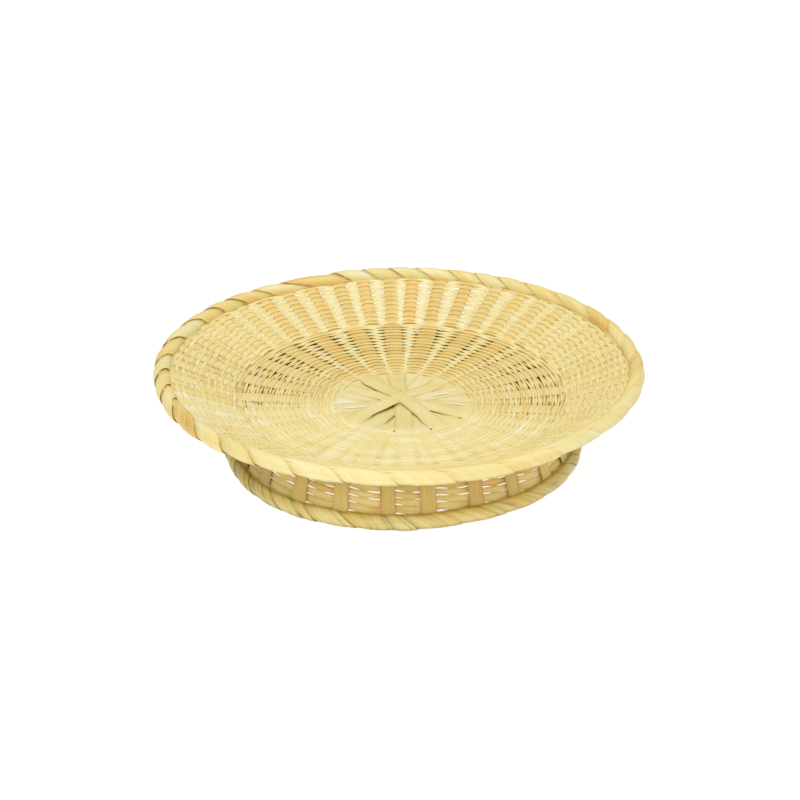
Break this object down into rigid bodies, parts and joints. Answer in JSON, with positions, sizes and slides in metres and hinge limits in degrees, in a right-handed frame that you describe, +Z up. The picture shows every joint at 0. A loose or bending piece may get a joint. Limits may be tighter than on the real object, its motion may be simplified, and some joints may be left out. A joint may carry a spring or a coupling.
{
  "type": "woven bamboo basket",
  "caption": "Shallow round bamboo tray basket with a wrapped rim, standing on a woven ring foot; holds food or small goods and lets them drain and dry.",
  "frame": {"origin": "centre of the underside of the ring foot, on the surface it stands on", "axes": "+Z up through the centre of the tray, the tray's axis; -Y is the side seen in front; +X to the right seen from the front"},
  "size_m": [0.3, 0.3, 0.0598],
  "materials": {
    "splint": "split bamboo, planed, pale straw with fine lengthwise fibres, satin",
    "stake": "split bamboo, honey to khaki, fibrous, satin",
    "weft": "thin split bamboo strands, light straw, satin",
    "foot_weft": "flat split bamboo strands, straw to tan, satin",
    "wrap": "wide shaved bamboo splint, pale yellow-green to straw, smooth satin",
    "hoop": "bent bamboo strip, plain"
  },
  "bodies": {
    "root": {"tray_splint_01": "splint", "tray_splint_02": "splint", "tray_splint_03": "splint", "tray_splint_04": "splint", "tray_splint_05": "splint", "tray_splint_06": "splint", "tray_splint_07": "splint", "tray_splint_08": "splint", "tray_splint_09": "splint", "tray_splint_10": "splint", "tray_splint_11": "splint", "tray_splint_12": "splint", "side_stake_01": "stake", "side_stake_02": "stake", "side_stake_03": "stake", "side_stake_04": "stake", "side_stake_05": "stake", "side_stake_06": "stake", "side_stake_07": "stake", "side_stake_08": "stake", "side_stake_09": "stake", "side_stake_10": "stake", "side_stake_11": "stake", "side_stake_12": "stake", "side_stake_13": "stake", "side_stake_14": "stake", "side_stake_15": "stake", "side_stake_16": "stake", "side_stake_17": "stake", "side_stake_18": "stake", "side_stake_19": "stake", "side_stake_20": "stake", "side_stake_21": "stake", "side_stake_22": "stake", "side_stake_23": "stake", "side_stake_24": "stake", "base_weft_1": "weft", "base_weft_2": "weft", "base_weft_3": "weft", "base_weft_4": "weft", "wall_weft_1": "weft", "wall_weft_2": "weft", "wall_weft_3": "weft", "foot_weft_1": "foot_weft", "foot_weft_2": "foot_weft", "foot_weft_3": "foot_weft", "foot_weft_4": "foot_weft", "foot_weft_5": "foot_weft", "foot_inner_stakes": "stake", "rim_inner_hoop": "hoop", "rim_outer_hoop": "hoop", "foot_inner_hoop": "hoop", "foot_outer_hoop": "hoop", "rim_wrap": "wrap", "foot_wrap": "wrap"}
  },
  "joints": []
}
